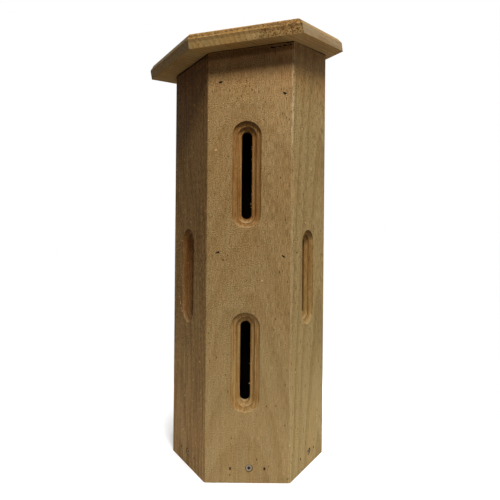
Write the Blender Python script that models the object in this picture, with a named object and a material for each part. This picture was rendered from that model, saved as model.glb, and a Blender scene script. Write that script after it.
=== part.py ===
# Butterfly house: six mitred boards make a hexagonal tower with routed entry slots.
# A floor board is screwed in near the foot, and a bevelled roof board slopes over the top.
# Metres, +Z up. The origin is the centre of the floor board's underside. The front faces -Y.

import math
from collections import namedtuple

import bmesh
import bpy
from mathutils import Matrix, Vector

# Tower
WALL_NAMES = ("front", "right", "back_right", "back", "back_left", "left")
FACE_WIDTH = 0.090
WALL_THICKNESS = 0.016
TOWER_HEIGHT = 0.4647        # foot to the underside of the roof, on the tower's axis
JOINT_GAP = 0.0003           # clearance between any two pieces that meet
ARRIS = 0.0012               # flat sanded on each vertical corner

# Floor board
FLOOR_THICKNESS = 0.016
FLOOR_RECESS = 0.007         # the walls stand this much below the floor board
FLOOR_ARRIS = 0.0005

# Roof board
ROOF_THICKNESS = 0.0159
ROOF_SLOPE = math.radians(10)
ROOF_RISE_HEADING = math.radians(30)   # compass of the high side, from +X towards +Y
ROOF_OVERHANG = 0.0229
ROOF_SHIFT = -0.0047         # the board was fixed a little towards -X
ROOF_BEVEL_WIDTH = 0.0041
ROOF_BEVEL_HEIGHT = 0.0055

# Routed slots: a through slot inside a bowl of two concave steps
SLOT_WIDTH = 0.0110
SLOT_SHIFT = -0.0033         # the router fence set every slot this far off the board's middle
OUTER_COVE_WIDTH = 0.0055
OUTER_COVE_DEPTH = 0.0040
INNER_COVE_WIDTH = 0.0044
INNER_COVE_DEPTH = 0.0035
COVE_START = math.radians(12)          # the cutter's arc leaves out this much at its top
COVE_END = math.radians(78)            # and ends here, short of flat
UPPER_SLOT_LENGTH = 0.0926
UPPER_SLOT_DROP = 0.1405     # roof underside on the axis down to the slot's middle
LOWER_SLOT_LENGTH = 0.086
LOWER_SLOT_HEIGHT = 0.1261   # foot up to the slot's middle
MIDDLE_SLOT_LENGTH = 0.086
MIDDLE_SLOT_HEIGHT = 0.214
ARC_STEPS = 10               # facets round each half circle of a slot
COVE_STEPS = 3               # facets down each cove

# Split in the top edge of the front board, at its right-hand end
SPLIT_LENGTH = 0.019
SPLIT_MOUTH_HEIGHT = 0.0014
SPLIT_END_HEIGHT = 0.0003
SPLIT_DEPTH = 0.006

# Floor screws, sunk in countersunk pockets
SCREW_HEAD_DIAMETER = 0.0062
SCREW_HEAD_RIM = 0.0004
SCREW_SHANK_DIAMETER = 0.0035
SCREW_TIP_DIAMETER = 0.0007
SCREW_LENGTH = 0.032
SCREW_TIP = 0.005
SCREW_SINK = 0.0012          # the head sits this far under the wood's surface
SCREW_SIDES = 16
POCKET_DIAMETER = 0.0084     # mouth of the pocket in the wood's surface
RECESS_SPAN = 0.0034         # cross recess in the head
RECESS_WIDTH = 0.0010
RECESS_DEPTH = 0.0016
SCREW_SHIFTS = {"front": 0.0017, "right": 0.0050, "left": -0.0007}

# Brads
BRAD_SHANK_DIAMETER = 0.0012
BRAD_HEAD_DIAMETER = 0.0017
BRAD_HEAD_DEPTH = 0.0008
BRAD_SINK = 0.0007
BRAD_TIP = 0.0015
BRAD_TIP_DIAMETER = 0.0003
BRAD_SIDES = 6
FLOOR_BRAD_LENGTH = 0.030
FLOOR_BRAD_SPREAD = 0.036    # between the two brads beside each floor screw
MITRE_BRAD_LENGTH = 0.025
MITRE_BRAD_SLANT = math.radians(40)
MITRE_BRAD_INSET_LEFT = 0.013
MITRE_BRAD_INSET_RIGHT = 0.009
UPPER_BRAD_DROP = 0.0500     # roof underside on the axis down to the upper brads
UPPER_BRAD_STAGGER = 0.0055
MIDDLE_BRAD_HEIGHT = 0.240
MIDDLE_BRAD_STAGGER = 0.0020
ROOF_BRAD_LENGTH = 0.040
ROOF_BRAD_SHIFT = 0.0225     # off the board's middle, to the right from outside

MOUTH = 0.003                # how far a cutting tool reaches out of the wood
CIRCLE = 2 * math.pi
CORNER_ANGLE = CIRCLE / len(WALL_NAMES)
MITRE_SLOPE = math.tan(CORNER_ANGLE / 2)
APOTHEM = FACE_WIDTH / 2 / MITRE_SLOPE
FOOT_Z = -FLOOR_RECESS
TOP_Z = FOOT_Z + TOWER_HEIGHT
FLOOR_MIDDLE_Z = FLOOR_THICKNESS / 2
UPHILL = Vector((math.cos(ROOF_RISE_HEADING), math.sin(ROOF_RISE_HEADING)))
ROOF_NORMAL = Vector((*(-UPHILL * math.sin(ROOF_SLOPE)), math.cos(ROOF_SLOPE)))

# Finishes: colour in linear light, roughness, metallic
FINISHES = {
    "beech": ((0.330, 0.215, 0.100), 0.62, 0.0),
    "oak": ((0.300, 0.215, 0.105), 0.66, 0.0),
    "roof": ((0.290, 0.185, 0.080), 0.64, 0.0),
    "floor": ((0.280, 0.190, 0.095), 0.70, 0.0),
    "zinc": ((0.520, 0.510, 0.480), 0.38, 1.0),
    "steel": ((0.120, 0.090, 0.065), 0.50, 1.0),
}

Fastener = namedtuple("Fastener", "name kind place enters")


def clear_scene():
    for old in list(bpy.data.objects):
        bpy.data.objects.remove(old)


def make_material(name):
    colour, roughness, metallic = FINISHES[name]
    material = bpy.data.materials.new(name)
    material.use_nodes = True
    shader = material.node_tree.nodes["Principled BSDF"]
    shader.inputs["Base Color"].default_value = (*colour, 1.0)
    shader.inputs["Roughness"].default_value = roughness
    shader.inputs["Metallic"].default_value = metallic
    return material


def add_object(name, mesh, finish=None, place=None):
    made = bpy.data.objects.new(name, mesh)
    bpy.context.scene.collection.objects.link(made)
    if place is not None:
        made.matrix_world = place
    if finish and not mesh.materials:
        mesh.materials.append(bpy.data.materials.get(finish) or make_material(finish))
    return made


def mesh_from(name, work):
    mesh = bpy.data.meshes.new(name)
    bmesh.ops.recalc_face_normals(work, faces=work.faces)
    work.to_mesh(mesh)
    work.free()
    return mesh


def loft(work, rings):
    """Closed skin through rings of points that all have the same count."""
    rows = [[work.verts.new(point) for point in ring] for ring in rings]
    for lower, upper in zip(rows, rows[1:]):
        for k in range(len(lower)):
            after = (k + 1) % len(lower)
            work.faces.new((lower[k], lower[after], upper[after], upper[k]))
    work.faces.new(rows[0])
    work.faces.new(rows[-1])


def circle(radius, height, sides):
    turns = [CIRCLE * k / sides for k in range(sides)]
    return [Vector((radius * math.cos(a), radius * math.sin(a), height)) for a in turns]


def hexagon(apothem, height):
    """Corners of a hexagon whose flats face the same way as the walls."""
    reach = apothem / math.cos(CORNER_ANGLE / 2)
    turns = [wall_heading(name) + CORNER_ANGLE / 2 for name in WALL_NAMES]
    return [Vector((reach * math.cos(a), reach * math.sin(a), height)) for a in turns]


def wall_heading(name):
    return -math.pi / 2 + CORNER_ANGLE * WALL_NAMES.index(name)


def wall_place(name):
    """Frame of a wall: X along the board, Y inwards from its outer face, Z up."""
    heading = wall_heading(name)
    outward = Vector((math.cos(heading), math.sin(heading), 0))
    turn = Matrix.Rotation(heading + math.pi / 2, 4, "Z")
    return Matrix.Translation(outward * APOTHEM) @ turn


def roof_underside_z(x, y):
    return TOP_Z + math.tan(ROOF_SLOPE) * (UPHILL.x * x + UPHILL.y * y)


def roof_place():
    """Frame of the roof: its underside is the XY plane, and X follows the world's X."""
    normal = ROOF_NORMAL
    across = (Vector((1, 0, 0)) - normal * normal.x).normalized()
    turn = Matrix((across, normal.cross(across), normal)).transposed().to_4x4()
    seat = Vector((ROOF_SHIFT, 0, roof_underside_z(ROOF_SHIFT, 0)))
    return Matrix.Translation(seat + normal * JOINT_GAP) @ turn


def wall_section():
    """Outline of one mitred board seen from above, in the wall's frame."""
    half = FACE_WIDTH / 2 - JOINT_GAP / 2 / math.cos(CORNER_ANGLE / 2)
    ease = ARRIS * math.cos(CORNER_ANGLE / 2)
    side = [
        (half - ARRIS, 0),
        (half - ease * math.sin(CORNER_ANGLE / 2) * MITRE_SLOPE,
         ease * math.sin(CORNER_ANGLE / 2)),
        (half - WALL_THICKNESS * MITRE_SLOPE, WALL_THICKNESS),
    ]
    return side + [(-x, y) for x, y in reversed(side)]


def make_wall(name):
    place = wall_place(name)
    foot = [Vector((x, y, FOOT_Z)) for x, y in wall_section()]
    top = []
    for point in foot:
        world = place @ point
        top.append(Vector((point.x, point.y, roof_underside_z(world.x, world.y))))
    work = bmesh.new()
    loft(work, [foot, top])
    finish = "beech" if name == "front" else "oak"
    return add_object("wall_" + name, mesh_from("wall_" + name, work), finish, place)


def slot_positions(name):
    """Height above the origin and length of each slot in a wall. Two-slot and
    one-slot boards take turns round the tower."""
    if WALL_NAMES.index(name) % 2:
        return [(FOOT_Z + MIDDLE_SLOT_HEIGHT, MIDDLE_SLOT_LENGTH)]
    return [
        (TOP_Z - UPPER_SLOT_DROP, UPPER_SLOT_LENGTH),
        (FOOT_Z + LOWER_SLOT_HEIGHT, LOWER_SLOT_LENGTH),
    ]


def cove(outer_radius, width, start_depth, depth):
    """Radius and depth down a concave step, steep at its rim and nearly flat at its foot."""
    first, last = COVE_START, COVE_END
    drop = math.sin(last) - math.sin(first)
    sweep = math.cos(first) - math.cos(last)
    points = []
    for k in range(COVE_STEPS + 1):
        turn = first + (last - first) * k / COVE_STEPS
        inward = width * (math.cos(first) - math.cos(turn)) / sweep
        down = depth * (math.sin(turn) - math.sin(first)) / drop
        points.append((outer_radius - inward, start_depth + down))
    return points


def slot_profile():
    """Radius and depth of the slot from outside the board to inside the tower."""
    slot = SLOT_WIDTH / 2
    ring = slot + INNER_COVE_WIDTH
    rim = ring + OUTER_COVE_WIDTH
    profile = [(rim, -MOUTH)]
    profile += cove(rim, OUTER_COVE_WIDTH, 0, OUTER_COVE_DEPTH)
    profile += cove(ring, INNER_COVE_WIDTH, OUTER_COVE_DEPTH, INNER_COVE_DEPTH)[1:]
    return profile + [(slot, WALL_THICKNESS + MOUTH)]


def stadium(radius, straight, depth):
    """Ring of points round a slot: two half circles joined by straight sides."""
    ring = []
    for end in (1, -1):
        for k in range(ARC_STEPS + 1):
            turn = math.pi * k / ARC_STEPS
            x, z = radius * math.cos(turn), radius * math.sin(turn)
            ring.append(Vector((end * x, depth, end * (z + straight / 2))))
    return ring


def cut_slots(work, name):
    place = wall_place(name)
    for height, length in slot_positions(name):
        middle = place @ Matrix.Translation((SLOT_SHIFT, 0, height))
        rings = [stadium(radius, length - SLOT_WIDTH, depth) for radius, depth in slot_profile()]
        loft(work, [[middle @ point for point in ring] for ring in rings])


def cut_split(work):
    """Wedge split off the front board's top edge, opening towards its right-hand end."""
    place = wall_place("front")
    ends = (
        (FACE_WIDTH / 2 + MOUTH, SPLIT_MOUTH_HEIGHT),
        (FACE_WIDTH / 2 - SPLIT_LENGTH, SPLIT_END_HEIGHT),
    )
    rings = []
    for x, torn in ends:
        edge_z = roof_underside_z(*(place @ Vector((x, 0, 0))).xy)
        rings.append([
            place @ Vector((x, -MOUTH, edge_z - torn)),
            place @ Vector((x, SPLIT_DEPTH, edge_z - torn)),
            place @ Vector((x, SPLIT_DEPTH, edge_z + MOUTH)),
            place @ Vector((x, -MOUTH, edge_z + MOUTH)),
        ])
    loft(work, rings)


def screw_outline():
    """Radius and height down a countersunk screw, whose head is level with zero."""
    head, shank = SCREW_HEAD_DIAMETER / 2, SCREW_SHANK_DIAMETER / 2
    cone_foot = -SCREW_HEAD_RIM - (head - shank)
    return [
        (head, 0),
        (head, -SCREW_HEAD_RIM),
        (shank, cone_foot),
        (shank, -SCREW_LENGTH + SCREW_TIP),
        (SCREW_TIP_DIAMETER / 2, -SCREW_LENGTH),
    ]


def brad_outline(length):
    head, shank = BRAD_HEAD_DIAMETER / 2, BRAD_SHANK_DIAMETER / 2
    return [
        (head, 0),
        (head, -BRAD_HEAD_DEPTH),
        (shank, -BRAD_HEAD_DEPTH),
        (shank, -length + BRAD_TIP),
        (BRAD_TIP_DIAMETER / 2, -length),
    ]


KINDS = {
    "floor_screw": (screw_outline(), SCREW_SIDES, SCREW_SINK),
    "floor_brad": (brad_outline(FLOOR_BRAD_LENGTH), BRAD_SIDES, BRAD_SINK),
    "mitre_brad": (brad_outline(MITRE_BRAD_LENGTH), BRAD_SIDES, BRAD_SINK),
    "roof_brad": (brad_outline(ROOF_BRAD_LENGTH), BRAD_SIDES, BRAD_SINK),
}


def driven(place, point, direction, sink):
    """Frame of a fastener: Z points back out of the wood, and the head lies under its face."""
    turn = direction.to_track_quat("-Z", "Y").to_matrix().to_4x4()
    local = Matrix.Translation(Vector(point) + direction * sink) @ turn
    return place @ local


def floor_fasteners(name):
    """The screw and two brads that hold the floor board to one wall."""
    place, inwards = wall_place(name), Vector((0, 1, 0))
    pieces = [
        ("floor_screw_" + name, "floor_screw", SCREW_SHIFTS.get(name, 0)),
        ("floor_brad_" + name + "_1", "floor_brad", -FLOOR_BRAD_SPREAD / 2),
        ("floor_brad_" + name + "_2", "floor_brad", FLOOR_BRAD_SPREAD / 2),
    ]
    for label, kind, shift in pieces:
        seat = driven(place, (shift, 0, FLOOR_MIDDLE_Z), inwards, KINDS[kind][2])
        yield Fastener(label, kind, seat, ("wall_" + name, "floor_board"))


def mitre_fasteners(name):
    """Brads driven at a slant through each mitre, from both of its faces."""
    place, index = wall_place(name), WALL_NAMES.index(name)
    upper, middle = TOP_Z - UPPER_BRAD_DROP, FOOT_Z + MIDDLE_BRAD_HEIGHT
    for side, sign, inset in (("left", -1, MITRE_BRAD_INSET_LEFT), ("right", 1, MITRE_BRAD_INSET_RIGHT)):
        neighbour = WALL_NAMES[(index + sign) % len(WALL_NAMES)]
        slant = Vector((sign * math.sin(MITRE_BRAD_SLANT), math.cos(MITRE_BRAD_SLANT), 0))
        levels = {
            "upper": upper - sign * UPPER_BRAD_STAGGER,
            "middle": middle - sign * MIDDLE_BRAD_STAGGER,
        }
        for level, height in levels.items():
            point = (sign * (FACE_WIDTH / 2 - inset), 0, height)
            seat = driven(place, point, slant, BRAD_SINK)
            label = f"mitre_brad_{name}_{level}_{side}"
            yield Fastener(label, "mitre_brad", seat, ("wall_" + name, "wall_" + neighbour))


def roof_fastener(name):
    """One brad straight down through the roof into the middle of a wall's top edge."""
    spot = wall_place(name) @ Vector((ROOF_BRAD_SHIFT, WALL_THICKNESS / 2, 0))
    rise = ROOF_THICKNESS / math.cos(ROOF_SLOPE)
    top = Vector((spot.x, spot.y, roof_underside_z(spot.x, spot.y) + JOINT_GAP + rise))
    seat = driven(Matrix.Identity(4), top, Vector((0, 0, -1)), BRAD_SINK)
    return Fastener("roof_brad_" + name, "roof_brad", seat, ("wall_" + name, "roof_board"))


def all_fasteners():
    for name in WALL_NAMES:
        yield from floor_fasteners(name)
        yield from mitre_fasteners(name)
        yield roof_fastener(name)


def cut_fastener(work, fastener):
    """Hole for a fastener, with the joint gap all round it and an open mouth. A screw's
    hole starts as a conical pocket that narrows down to its head."""
    outline, sides, sink = KINDS[fastener.kind]
    hole = [(radius + JOINT_GAP, height - JOINT_GAP) for radius, height in outline]
    if fastener.kind == "floor_screw":
        pocket = POCKET_DIAMETER / 2
        hole[0] = (hole[0][0], 0)
        hole = [(pocket, sink + MOUTH), (pocket, sink)] + hole
    else:
        hole[0] = (hole[0][0], sink + MOUTH)
    rings = [circle(radius, height, sides) for radius, height in hole]
    loft(work, [[fastener.place @ point for point in ring] for ring in rings])


def cut_with(body, work):
    """Takes every closed shape in work out of body with one exact Boolean."""
    tool = add_object("cut_" + body.name, mesh_from("cut_" + body.name, work))
    tool.hide_render = True
    tool.display_type = "WIRE"
    cut = body.modifiers.new("cut", "BOOLEAN")
    cut.operation = "DIFFERENCE"
    cut.solver = "EXACT"
    cut.object = tool


def make_floor_board():
    apothem = APOTHEM - WALL_THICKNESS - JOINT_GAP
    work = bmesh.new()
    loft(work, [
        hexagon(apothem - FLOOR_ARRIS, 0),
        hexagon(apothem, FLOOR_ARRIS),
        hexagon(apothem, FLOOR_THICKNESS - FLOOR_ARRIS),
        hexagon(apothem - FLOOR_ARRIS, FLOOR_THICKNESS),
    ])
    return add_object("floor_board", mesh_from("floor_board", work), "floor")


def make_roof_board():
    apothem = APOTHEM + ROOF_OVERHANG
    work = bmesh.new()
    loft(work, [
        hexagon(apothem, 0),
        hexagon(apothem, ROOF_THICKNESS - ROOF_BEVEL_HEIGHT),
        hexagon(apothem - ROOF_BEVEL_WIDTH, ROOF_THICKNESS),
    ])
    return add_object("roof_board", mesh_from("roof_board", work), "roof", roof_place())


def recess_mesh():
    """Cross recess that the driver bit turns."""
    work = bmesh.new()
    half, narrow = RECESS_SPAN / 2, RECESS_WIDTH / 2
    outline = [
        (half, -narrow), (half, narrow), (narrow, narrow), (narrow, half),
        (-narrow, half), (-narrow, narrow), (-half, narrow), (-half, -narrow),
        (-narrow, -narrow), (-narrow, -half), (narrow, -half), (narrow, -narrow),
    ]
    loft(work, [
        [Vector((x, y, -RECESS_DEPTH)) for x, y in outline],
        [Vector((x, y, MOUTH)) for x, y in outline],
    ])
    return mesh_from("recess", work)


def screw_mesh():
    """One screw with its recess cut, which all the screws share."""
    blank = add_object("screw_blank", turned_mesh("floor_screw"), "zinc")
    cutter = add_object("recess_tool", recess_mesh())
    cut = blank.modifiers.new("recess", "BOOLEAN")
    cut.solver = "EXACT"
    cut.object = cutter
    bpy.context.view_layer.update()
    shaped = blank.evaluated_get(bpy.context.evaluated_depsgraph_get())
    mesh = bpy.data.meshes.new_from_object(shaped)
    bpy.data.objects.remove(blank)
    bpy.data.objects.remove(cutter)
    return mesh


def turned_mesh(kind):
    outline, sides, _ = KINDS[kind]
    work = bmesh.new()
    loft(work, [circle(radius, height, sides) for radius, height in outline])
    return mesh_from(kind, work)


def shade_round(mesh):
    mesh.shade_smooth()
    mesh.set_sharp_from_angle(angle=math.radians(30))


def build():
    clear_scene()
    bodies = {"wall_" + name: make_wall(name) for name in WALL_NAMES}
    bodies["floor_board"] = make_floor_board()
    bodies["roof_board"] = make_roof_board()
    tools = {body: bmesh.new() for body in bodies}
    meshes = {kind: turned_mesh(kind) for kind in KINDS if kind != "floor_screw"}
    meshes["floor_screw"] = screw_mesh()
    for mesh in meshes.values():
        shade_round(mesh)
    for name in WALL_NAMES:
        cut_slots(tools["wall_" + name], name)
    cut_split(tools["wall_front"])
    for fastener in all_fasteners():
        finish = "zinc" if fastener.kind == "floor_screw" else "steel"
        add_object(fastener.name, meshes[fastener.kind], finish, fastener.place)
        for body in fastener.enters:
            cut_fastener(tools[body], fastener)
    for body, made in bodies.items():
        cut_with(made, tools[body])


build()
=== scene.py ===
# Butterfly house: the finished look of the six wall boards, the roof board, the floor board
# and their screws and brads. Metres, +Z up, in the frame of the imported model. The front faces -Y.
# Each board has its own frame, with X along the board, Y into the wood and Z up the tower.

import math
import random

import bmesh
import bpy
from mathutils import Matrix, Vector


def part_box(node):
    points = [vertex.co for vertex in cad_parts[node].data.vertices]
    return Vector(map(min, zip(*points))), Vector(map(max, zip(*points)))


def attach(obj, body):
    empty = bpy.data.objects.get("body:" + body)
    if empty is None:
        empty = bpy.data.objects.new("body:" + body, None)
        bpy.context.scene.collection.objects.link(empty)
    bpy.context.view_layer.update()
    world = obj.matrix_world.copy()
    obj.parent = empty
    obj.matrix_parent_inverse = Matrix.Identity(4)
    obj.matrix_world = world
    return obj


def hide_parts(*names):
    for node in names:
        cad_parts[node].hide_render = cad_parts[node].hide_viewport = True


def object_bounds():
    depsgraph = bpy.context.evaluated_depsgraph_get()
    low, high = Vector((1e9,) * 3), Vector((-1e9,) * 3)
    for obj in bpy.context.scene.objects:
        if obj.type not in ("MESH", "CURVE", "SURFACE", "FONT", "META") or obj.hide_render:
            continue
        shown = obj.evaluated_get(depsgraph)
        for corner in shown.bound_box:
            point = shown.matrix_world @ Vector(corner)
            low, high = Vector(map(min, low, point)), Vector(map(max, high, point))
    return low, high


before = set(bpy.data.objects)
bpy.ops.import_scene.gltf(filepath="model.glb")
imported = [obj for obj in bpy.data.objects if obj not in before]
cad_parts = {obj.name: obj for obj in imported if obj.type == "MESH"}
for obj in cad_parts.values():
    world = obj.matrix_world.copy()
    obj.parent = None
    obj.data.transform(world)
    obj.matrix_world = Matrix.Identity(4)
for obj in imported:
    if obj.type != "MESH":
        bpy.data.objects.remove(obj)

CAD_BOX = [list(corner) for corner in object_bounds()]
BODY = "root"

# Boards
WALL_NAMES = ("front", "right", "back_right", "back", "back_left", "left")
CORNER_ANGLE = math.tau / len(WALL_NAMES)
MITRE_SLOPE = math.tan(CORNER_ANGLE / 2)
APOTHEM = -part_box("wall_front")[0].y
WALL_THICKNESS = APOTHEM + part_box("wall_front")[1].y
FACE_WIDTH = 2 * APOTHEM * MITRE_SLOPE
FOOT_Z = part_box("wall_front")[0].z
MILLIMETRE = 0.001
JOINT_GAP = 0.0003
CORNER_REACH = 0.0012  # how far the sanded round runs onto each face
CORNER_STEPS = 4
EDGE_EASE = 0.0004  # round on a wall's foot and top, and on every edge of the roof
EASE_STEPS = 3
GLUE_RECESS = 0.0001

# Roof board
ROOF_BEVEL_WIDTH = 0.0041
ROOF_BEVEL_HEIGHT = 0.0055
ROOF_GRAIN = math.radians(60)  # heading of the roof's grain, from +X

# Routed slots: a through slot inside a bowl of two concave steps
SLOT_WIDTH = 0.011
SLOT_SHIFT = -0.0033
OUTER_COVE_WIDTH = 0.0053
OUTER_COVE_DEPTH = 0.004
INNER_COVE_WIDTH = 0.0044
INNER_COVE_DEPTH = 0.0035
COVE_WALL = 0.0006  # straight wall at the top of each step
COVE_START = math.radians(12)
COVE_END = math.radians(78)
RIM_ROUND = 0.0003
SLOT_LEVELS = {  # middle above the foot and length of each slot
    "two": ((0.3239, 0.0932), (0.1261, 0.086)),
    "one": ((0.214, 0.086),),
}
ARC_STEPS = 32
COVE_STEPS = 10

# How much further than the joint gap a board's top edge stops short of the roof,
# at its left-hand and right-hand end
TOP_DROPS = {
    "front": (0.0003, 0.0006), "right": (0, 0.0014), "back_right": (0.0003, 0.0008),
    "back": (0.0008, 0.0002), "back_left": (0.0003, 0.0006), "left": (0.002, 0.0015),
}

# Split in the top edge of the front board, and the crack that runs on below it
SPLIT_LENGTH = 0.019
SPLIT_HEIGHT = 0.0017
SPLIT_DEPTH = 0.006
CRACK_LENGTH = 0.024
CRACK_DROP = 0.0036
CRACK_HEIGHT = 0.0011
CRACK_DEPTH = 0.0018
CRACK_STEPS = 16
SPLIT_WAVER = (0.2, 19)  # share and pace of a ragged line's swings
CRACK_WAVER = (0.07, 23)
CRACK_FRAY = (0.7, 31)
CRACK_END = 0.9  # past this share of its length the crack opens wider
CRACK_END_FRAY = 1.5

# Fasteners
SCREW_HEAD_DIAMETER = 0.0062
SCREW_HEAD_RIM = 0.0004
SCREW_SHANK_DIAMETER = 0.0035
SCREW_CORE_DIAMETER = 0.0025
SCREW_PITCH = 0.0016
SCREW_SINK = 0.0012
POCKET_DIAMETER = 0.0084
SCREW_TIP = 0.005
SCREW_TIP_RADIUS = 0.0001
SCREW_SIDES = 40
THREAD_ROWS = 8  # rings of points to one turn of the thread
THREAD_SLOPE = 4  # a crest fills the middle half of each turn
RECESS_SPAN = 0.0036
RECESS_WIDTH = 0.0015
RECESS_DEPTH = 0.0016
RECESS_TAPER = 0.55  # share of its span that the recess loses at its foot
SHADE_MARGIN = 1.02  # faces this much past the recess's half span still get the painted shade
BRAD_HEAD_DIAMETER = 0.0017
HOLE_SIDES = 32
BRAD_GAP = 0.0001  # shown round a brad, less than its solid's own gap
DENT_SIZES = {"front": (0.0046, 0.0017)}  # oval dents round the slanted brads
PLAIN_DENT = (0.0027, 0.0016)
DENT_DEPTH = 0.0013
DENT_TILTS = {  # degrees up towards the board's right
    "front_upper_left": 4, "front_upper_right": -12, "front_middle_left": 28,
    "front_middle_right": -32, "left_upper_left": 15, "left_upper_right": -10,
    "right_upper_left": 20, "right_upper_right": -15, "right_middle_right": 10,
}
DENT_SHIFTS = {  # dent's middle off the brad's, along and up
    "front_upper_left": (0.001, 0.0006), "front_upper_right": (-0.0004, 0.0008),
    "front_middle_left": (-0.0008, -0.0002), "front_middle_right": (-0.0004, 0.0003),
}
MOUTH = 0.003  # how far a cutting tool reaches out of the wood
LIP = 0.0001  # keeps a tool's rings clear of the wood's own surface
DENT_PROFILE = (  # share of a dent's size, and depth
    (1, -MOUTH), (1, -LIP), (0.95, 0.8 * DENT_DEPTH), (0.7, DENT_DEPTH),
)
WELD = 0.000001  # points closer than this after a cut become one
END_SLICE = 0.0003  # points this close to a fastener's end make up that end
UP = Vector((0, 0, 1))
DOWNWARD = -0.9  # a face whose normal's Z lies under this faces down
SHARP_ANGLE = math.radians(32)

# Loose fibres at the right-hand edge of the front board's through slots:
# slot, height off its middle, reach into the opening
SPLINTERS = (
    (0, 0.0309, 0.0012), (0, 0.0284, 0.0015), (0, 0.0171, 0.0014), (0, 0.005, 0.0008),
    (0, -0.0118, 0.0008), (0, -0.0197, 0.0011), (0, -0.0306, 0.0024), (0, -0.0338, 0.0013),
    (1, -0.0032, 0.0015), (1, -0.0235, 0.002), (1, 0.019, 0.0008),
)
SPLINTER_RADIUS = 0.00028
SPLINTER_DEPTH = 0.0086
SPLINTER_SIDES = 6
SPLINTER_SEED = 7
SPLINTER_SHAPE = ((0, 0.7), (0.5, 1), (0.8, 0.8), (1, 0.2))  # shares of reach and radius

# Stage
GROUND_SIZE = 30
GROUND_CLEARANCE = 0.0001
TABLE_RADIUS = 0.26
TABLE_ALBEDO = 0.9
TABLE_FADE = 1.5  # the table's light fades out between its radius and this much of it
TABLE_GLOW = 0.15  # extra white of the table top for the camera alone
BEYOND_ALBEDO = 0.02
SEEN_BY = ("Is Camera Ray", "Is Glossy Ray", "Is Transmission Ray")
LAMPS = (  # azimuth and elevation in degrees, distance, size and watts
    ("key", 14, 53, 1.4, 0.35, 21.5),
    ("low_front", 0, 23.5, 1.6, 0.12, 2),
    ("overhead", 0, 88, 1.7, 0.5, 30),
    ("right_side", 120, 5, 1.6, 0.25, 4.2),
    ("right_high", 120, 32, 1.6, 0.25, 1.5),
    ("left_side", -120, 5, 1.6, 0.25, 1.2),
    ("back", 180, 35, 1.6, 0.5, 8),
)
SENSOR_WIDTH = 36  # millimetres, as the lens is
LENS = 35.98
LENS_SHIFT = (-0.0016, -0.0337)
CAMERA_ROLL = 0.0092
CAMERA_PLACE = (0.00154, -0.6027, 0.2554)


# Meshes

def mesh_from(name, work):
    mesh = bpy.data.meshes.new(name)
    work.to_mesh(mesh)
    work.free()
    return mesh


def loft(work, rings):
    """Closed skin, facing outwards, through rings with the same count of points."""
    rows = [[work.verts.new(point) for point in ring] for ring in rings]
    skin = [work.faces.new(reversed(rows[0])), work.faces.new(rows[-1])]
    for lower, upper in zip(rows, rows[1:]):
        for k in range(len(lower)):
            after = (k + 1) % len(lower)
            skin.append(work.faces.new((lower[k], lower[after], upper[after], upper[k])))
    middle = sum((v.co for row in rows for v in row), Vector()) / (len(rows) * len(rows[0]))
    volume = 0
    for face in skin:
        first, *others = [v.co - middle for v in face.verts]
        volume += sum(first @ a.cross(b) for a, b in zip(others, others[1:]))
    if volume < 0:
        bmesh.ops.reverse_faces(work, faces=skin)


def loft_at(work, place, rings):
    loft(work, [[place @ point for point in ring] for ring in rings])


def lofted(name, rings):
    work = bmesh.new()
    loft(work, rings)
    return mesh_from(name, work)


def circle(radius, height, sides):
    turns = [math.tau * k / sides for k in range(sides)]
    return [Vector((radius * math.cos(a), radius * math.sin(a), height)) for a in turns]


def add_object(name, data):
    made = bpy.data.objects.new(name, data)
    bpy.context.scene.collection.objects.link(made)
    return made


def carve(mesh, tool_mesh):
    """The mesh without what lies in the closed shapes of tool_mesh."""
    body, tool = add_object("carve_body", mesh), add_object("carve_tool", tool_mesh)
    cut = body.modifiers.new("cut", "BOOLEAN")
    cut.operation = "DIFFERENCE"
    cut.solver = "EXACT"
    cut.object = tool
    bpy.context.view_layer.update()
    carved = bpy.data.meshes.new_from_object(
        body.evaluated_get(bpy.context.evaluated_depsgraph_get()))
    bpy.data.objects.remove(body)
    bpy.data.objects.remove(tool)
    work = bmesh.new()
    work.from_mesh(carved)
    bmesh.ops.remove_doubles(work, verts=work.verts, dist=WELD)
    work.to_mesh(carved)
    work.free()
    return carved


def coat(mesh, material):
    mesh.materials.clear()
    mesh.materials.append(material)


def piece(name, mesh, material, slot, *nodes):
    """A piece of the object, smooth over its rounds and flat on its flats."""
    made = add_object(name, mesh)
    mesh.name = name
    coat(mesh, material)
    mesh.shade_smooth()
    mesh.set_sharp_from_angle(angle=SHARP_ANGLE)
    flats = made.modifiers.new("flats", "WEIGHTED_NORMAL")
    flats.keep_sharp = True
    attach(made, BODY)
    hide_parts(*nodes)


# Frames

def wall_heading(name):
    return -math.pi / 2 + CORNER_ANGLE * WALL_NAMES.index(name)


def outward(heading):
    return Vector((math.cos(heading), math.sin(heading), 0))


def wall_place(name):
    """Frame of a wall, with its origin on the outer face at the foot."""
    heading = wall_heading(name)
    turn = Matrix.Rotation(heading + math.pi / 2, 4, "Z")
    return Matrix.Translation(outward(heading) * APOTHEM + UP * FOOT_Z) @ turn


def aimed(start, along):
    """Frame at start, with Z along the given direction."""
    return Matrix.Translation(start) @ along.to_track_quat("Z", "Y").to_matrix().to_4x4()


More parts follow.
